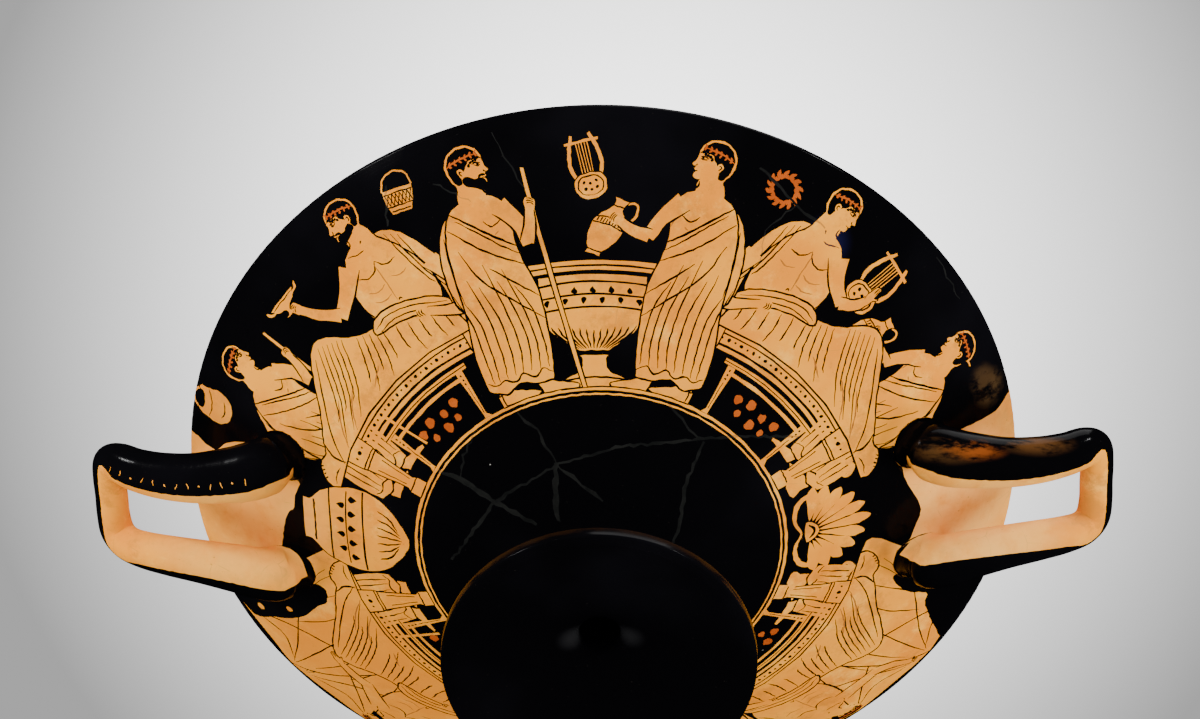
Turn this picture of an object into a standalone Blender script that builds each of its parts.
"""Greek drinking cup of the kylix kind: a wide shallow bowl on a stemmed foot, with two loop handles.

The potter threw the bowl and the foot, luted them together and pressed on two pulled handles,
so the fired cup is one solid. The model stands on its foot at z = 0 with the stem's axis on Z,
and its handles point along +X and -X.
"""

import math

import bmesh
import bpy
from mathutils import Matrix, Vector

# Bowl, in metres
RIM_RADIUS = 0.166
CUP_HEIGHT = 0.138
WALL_AT_RIM = 0.0036
WALL_AT_STEM = 0.0060
BOWL_SLOPE_AT_STEM = math.radians(22.0)
BOWL_SLOPE_AT_RIM = math.radians(52.0)
BOWL_PULL_AT_STEM = 0.65
BOWL_PULL_AT_RIM = 0.15

# Stem, in metres
BOWL_SEAT_RADIUS = 0.0270
BOWL_SEAT_HEIGHT = 0.0605
STEM_WAIST_RADIUS = 0.0117
STEM_WAIST_HEIGHT = 0.0340

# Foot, in metres
FOOT_RADIUS = 0.0603
FOOT_EDGE_HEIGHT = 0.0058
FOOT_EDGE_ROUND = 0.0010
RESTING_BAND = 0.0030
HOLLOW_MOUTH_RADIUS = 0.0150
HOLLOW_MOUTH_HEIGHT = 0.0140
STEM_BORE_RADIUS = 0.0080
STEM_BORE_MOUTH_HEIGHT = 0.0210
STEM_BORE_TOP = 0.0320

# Handles, in metres
HANDLE_REACH = 0.0379
HANDLE_TIP_DROP = 0.0238
LEFT_HANDLE_LIFT = 0.0033
HANDLE_HALF_SPREAD = 0.0196
HANDLE_ROOT_HALF_SPREAD = 0.0274
HANDLE_ROOT_SETBACK = 0.0379
HANDLE_ROD_TIP = 0.0070
HANDLE_ROD_ARM = 0.0096
HANDLE_ROD_ROOT = 0.0124
HANDLE_SINK = 0.0022
HANDLE_FLATNESS = 0.86
HANDLE_LEAN = math.radians(34.0)

# Fineness of the facets
TURNS = 64
BOWL_STEPS = 10
CURVE_STEPS = 4
ROUND_STEPS = 2
ROD_SIDES = 12
ROD_STEPS = 2


def bezier(start, start_pull, end_pull, end, steps):
    """Points along one cubic curve, both ends included."""
    points = []
    for index in range(steps + 1):
        t = index / steps
        u = 1.0 - t
        blend = (u ** 3, 3 * u * u * t, 3 * u * t * t, t ** 3)
        ends = (start, start_pull, end_pull, end)
        points.append(sum((Vector(p) * w for p, w in zip(ends, blend)), Vector((0.0, 0.0))))
    return points


def arc(centre, radius, first, last, steps):
    """Points along a round corner, from one angle to another."""
    points = []
    for index in range(steps + 1):
        angle = first + (last - first) * index / steps
        points.append(Vector(centre) + radius * Vector((math.cos(angle), math.sin(angle))))
    return points


def slope(angle):
    """Unit direction in the profile plane, rising outward at an angle."""
    return Vector((math.cos(angle), math.sin(angle)))


def lip_centre():
    """Middle of the half-round lip."""
    half_wall = WALL_AT_RIM / 2
    return Vector((RIM_RADIUS - half_wall, CUP_HEIGHT - half_wall))


def bowl_outside(steps):
    """Outer face of the bowl, from the top of the stem to the lip, as (radius, height)."""
    start = Vector((BOWL_SEAT_RADIUS, BOWL_SEAT_HEIGHT))
    rim_slope = slope(BOWL_SLOPE_AT_RIM)
    outward = Vector((rim_slope.y, -rim_slope.x))
    end = lip_centre() + outward * WALL_AT_RIM / 2
    chord = (end - start).length
    start_pull = start + slope(BOWL_SLOPE_AT_STEM) * chord * BOWL_PULL_AT_STEM
    end_pull = end - rim_slope * chord * BOWL_PULL_AT_RIM
    return bezier(start, start_pull, end_pull, end, steps)


def outward_normals(points):
    """Direction square to a profile at each of its points, away from the clay."""
    normals = []
    last = len(points) - 1
    for index in range(last + 1):
        along = (points[min(index + 1, last)] - points[max(index - 1, 0)]).normalized()
        normals.append(Vector((along.y, -along.x)))
    return normals


def bowl_inside(outside):
    """Inner face of the bowl, from the lip down to the middle of the floor."""
    normals = outward_normals(outside)
    normals[-1] = Vector((math.sin(BOWL_SLOPE_AT_RIM), -math.cos(BOWL_SLOPE_AT_RIM)))
    last = len(outside) - 1
    inside = []
    for index in range(last, -1, -1):
        share = index / last
        wall = WALL_AT_STEM + (WALL_AT_RIM - WALL_AT_STEM) * share
        inside.append(outside[index] - normals[index] * wall)
    edge = inside[-1]
    drop = edge.x * math.tan(BOWL_SLOPE_AT_STEM)
    middle = Vector((0.0, edge.y - drop * 0.5))
    floor = bezier(edge, edge - Vector((edge.x, drop)) * 0.35, Vector((edge.x * 0.3, middle.y)), middle, 4)
    return inside[1:] + floor[1:]


def underside():
    """Hollow under the foot, from the top of the bore out to the resting band."""
    bore = STEM_BORE_RADIUS
    top = Vector((0.0, STEM_BORE_TOP))
    shoulder = Vector((bore, STEM_BORE_TOP - bore * 0.6))
    bore_mouth = Vector((bore, STEM_BORE_MOUTH_HEIGHT))
    hollow_mouth = Vector((HOLLOW_MOUTH_RADIUS, HOLLOW_MOUTH_HEIGHT))
    rest = Vector((FOOT_RADIUS - FOOT_EDGE_ROUND - RESTING_BAND, 0.0))
    rise = rest.x - hollow_mouth.x
    points = bezier(top, (bore * 0.6, top.y), (bore, top.y), shoulder, 3)
    mouth = (hollow_mouth.x - bore) * 0.5
    points += bezier(bore_mouth, (bore, bore_mouth.y - mouth * 0.9),
                     (hollow_mouth.x - mouth, hollow_mouth.y + mouth * 0.4), hollow_mouth, 4)
    points += bezier(hollow_mouth, hollow_mouth + Vector((rise * 0.35, -hollow_mouth.y * 0.3)),
                     rest + Vector((-rise * 0.2, hollow_mouth.y * 0.3)), rest, CURVE_STEPS)[1:]
    return points


def foot_and_stem():
    """Edge and top of the foot and the side of the stem, up to the bowl."""
    round_off = FOOT_EDGE_ROUND
    edge = FOOT_RADIUS - round_off
    points = arc((edge, round_off), round_off, -math.pi / 2, 0.0, ROUND_STEPS)
    points += arc((edge, FOOT_EDGE_HEIGHT - round_off), round_off, 0.0, math.radians(80), ROUND_STEPS)
    top_edge = points[-1]
    waist = Vector((STEM_WAIST_RADIUS, STEM_WAIST_HEIGHT))
    spread = top_edge.x - waist.x
    climb = waist.y - top_edge.y
    points += bezier(top_edge, top_edge + Vector((-spread * 0.62, climb * 0.20)),
                     waist - Vector((0.0, climb * 0.55)), waist, CURVE_STEPS + 2)[1:]
    seat = Vector((BOWL_SEAT_RADIUS, BOWL_SEAT_HEIGHT))
    flare = seat - waist
    points += bezier(waist, waist + Vector((0.0, flare.y * 0.55)),
                     seat - Vector((flare.x * 0.55, flare.y * 0.16)), seat, CURVE_STEPS)[1:]
    return points


def turned_cup():
    """Foot, stem and bowl, spun from one closed profile."""
    outside = bowl_outside(BOWL_STEPS)
    half_wall = WALL_AT_RIM / 2
    lip_start = BOWL_SLOPE_AT_RIM - math.pi / 2
    lip = arc(lip_centre(), half_wall, lip_start, lip_start + math.pi, 2 * ROUND_STEPS)
    profile = underside() + foot_and_stem() + outside[1:-1] + lip[:-1] + bowl_inside(outside)
    return spin_profile("kylix", profile)


def spin_profile(name, profile):
    """Solid of revolution whose profile starts and ends on the axis."""
    shape = bmesh.new()
    verts = [shape.verts.new((point.x, 0.0, point.y)) for point in profile]
    edges = [shape.edges.new(pair) for pair in zip(verts, verts[1:])]
    bmesh.ops.spin(shape, geom=verts + edges, cent=(0.0, 0.0, 0.0), axis=(0.0, 0.0, 1.0),
                   angle=2 * math.pi, steps=TURNS, use_merge=True)
    bmesh.ops.remove_doubles(shape, verts=shape.verts, dist=0.00001)
    bmesh.ops.recalc_face_normals(shape, faces=shape.faces)
    return new_object(name, shape)


def wall_point(radius):
    """Outer wall of the bowl at a radius: its point and its outward direction."""
    outside = bowl_outside(4 * BOWL_STEPS)
    normals = outward_normals(outside)
    for low, high, normal in zip(outside, outside[1:], normals):
        if low.x <= radius <= high.x:
            share = (radius - low.x) / (high.x - low.x)
            return low.lerp(high, share), normal
    raise ValueError("The radius lies outside the bowl")


def arm_stations(lift):
    """One handle arm from its buried root to the middle of the tip: (centre, rod radius)."""
    tip_x = RIM_RADIUS + HANDLE_REACH - HANDLE_ROD_TIP
    tip_z = CUP_HEIGHT - HANDLE_TIP_DROP + lift
    root = RIM_RADIUS - HANDLE_ROOT_SETBACK
    stations = []
    for setback, thickness in ((0.0058, 0.12), (0.0050, 0.50), (0.0033, 0.80), (0.0, 1.0)):
        point, normal = wall_point(root - setback)
        rod = max(HANDLE_ROD_ROOT * thickness, HANDLE_SINK * 0.6)
        centre = point + normal * (rod - HANDLE_SINK)
        spread = HANDLE_ROOT_HALF_SPREAD + setback * 0.2
        stations.append((Vector((math.sqrt(centre.x ** 2 - spread ** 2), spread, centre.y)), rod))
    start = stations[-1][0]
    run = tip_x - start.x
    rise = tip_z - start.z
    sway = HANDLE_ROOT_HALF_SPREAD - HANDLE_HALF_SPREAD
    swell = HANDLE_ROD_ROOT - HANDLE_ROD_ARM
    slim = HANDLE_ROD_ARM - HANDLE_ROD_TIP
    for along, spread, height, thick in ((0.11, 0.70, -0.03, 0.74), (0.24, 0.43, 0.0, 0.42),
                                         (0.45, 0.12, 0.085, 0.12)):
        centre = Vector((start.x + run * along, HANDLE_HALF_SPREAD + sway * spread, start.z + rise * height))
        stations.append((centre, HANDLE_ROD_ARM + swell * thick))
    for along, spread, height, thin in ((0.645, 1.0, 0.24, 0.12), (0.805, 1.0, 0.46, 0.38),
                                        (0.918, 1.0, 0.725, 0.60), (0.982, 0.84, 0.93, 0.80),
                                        (1.0, 0.45, 0.99, 0.96)):
        centre = Vector((start.x + run * along, HANDLE_HALF_SPREAD * spread, start.z + rise * height))
        stations.append((centre, HANDLE_ROD_ARM - slim * thin))
    stations.append((Vector((tip_x, 0.0, tip_z)), HANDLE_ROD_TIP))
    return stations


def smooth_path(stations, steps):
    """Even curve through the stations, with the rod radius blended between them."""
    path = []
    last = len(stations) - 1
    for index in range(last):
        around = [stations[min(max(index + shift, 0), last)] for shift in (-1, 0, 1, 2)]
        for step in range(steps):
            t = step / steps
            weights = (-0.5 * t + t * t - 0.5 * t ** 3, 1 - 2.5 * t * t + 1.5 * t ** 3,
                       0.5 * t + 2 * t * t - 1.5 * t ** 3, -0.5 * t * t + 0.5 * t ** 3)
            centre = sum((near[0] * w for near, w in zip(around, weights)), Vector((0.0, 0.0, 0.0)))
            radius = around[1][1] + (around[2][1] - around[1][1]) * t
            path.append((centre, radius))
    path.append(stations[last])
    return path


def handle(name, side, lift):
    """Oval rod swept from one root round the tip to the other root, on one side of the cup."""
    arm = arm_stations(lift)
    mirrored = [(Vector((centre.x, -centre.y, centre.z)), rod) for centre, rod in reversed(arm[:-1])]
    path = smooth_path(arm + mirrored, ROD_STEPS)
    shape = bmesh.new()
    rings = []
    last = len(path) - 1
    for index, (centre, rod) in enumerate(path):
        along = (path[min(index + 1, last)][0] - path[max(index - 1, 0)][0]).normalized()
        across = along.cross(Vector((0.0, 0.0, 1.0))).normalized()
        upright = Matrix((across, along.cross(across), along)).transposed()
        turn = upright @ Matrix.Rotation(HANDLE_LEAN, 3, "Z")
        ring = []
        for step in range(ROD_SIDES):
            angle = 2 * math.pi * (step + 0.5) / ROD_SIDES
            offset = turn @ Vector((rod * math.cos(angle), rod * HANDLE_FLATNESS * math.sin(angle), 0.0))
            point = centre + offset
            ring.append(shape.verts.new((point.x * side, point.y, point.z)))
        rings.append(ring)
    for near, far in zip(rings, rings[1:]):
        for step in range(ROD_SIDES):
            after = (step + 1) % ROD_SIDES
            shape.faces.new((near[step], near[after], far[after], far[step]))
    shape.faces.new(rings[0])
    shape.faces.new(rings[-1])
    bmesh.ops.recalc_face_normals(shape, faces=shape.faces)
    return new_object(name, shape)


def new_object(name, shape):
    """Object made from a finished bmesh."""
    mesh = bpy.data.meshes.new(name)
    shape.to_mesh(mesh)
    shape.free()
    item = bpy.data.objects.new(name, mesh)
    bpy.context.scene.collection.objects.link(item)
    return item


def fuse(body, tool):
    """Join a tool shape to the body as one solid and hide the tool."""
    union = body.modifiers.new(tool.name, "BOOLEAN")
    union.operation = "UNION"
    union.solver = "EXACT"
    union.object = tool
    tool.hide_render = True
    tool.display_type = "WIRE"


def glazed_clay():
    """Fired clay under a black gloss."""
    material = bpy.data.materials.new("painted_clay")
    material.use_nodes = True
    shader = material.node_tree.nodes["Principled BSDF"]
    shader.inputs["Base Color"].default_value = (0.60, 0.25, 0.07, 1.0)
    shader.inputs["Roughness"].default_value = 0.38
    shader.inputs["Metallic"].default_value = 0.0
    return material


for item in list(bpy.data.objects):
    bpy.data.objects.remove(item, do_unlink=True)

cup = turned_cup()
cup.data.materials.append(glazed_clay())
fuse(cup, handle("handle_right_form", 1.0, 0.0))
fuse(cup, handle("handle_left_form", -1.0, LEFT_HANDLE_LIFT))
cup.data.shade_smooth()
cup.data.set_sharp_from_angle(angle=math.radians(35.0))
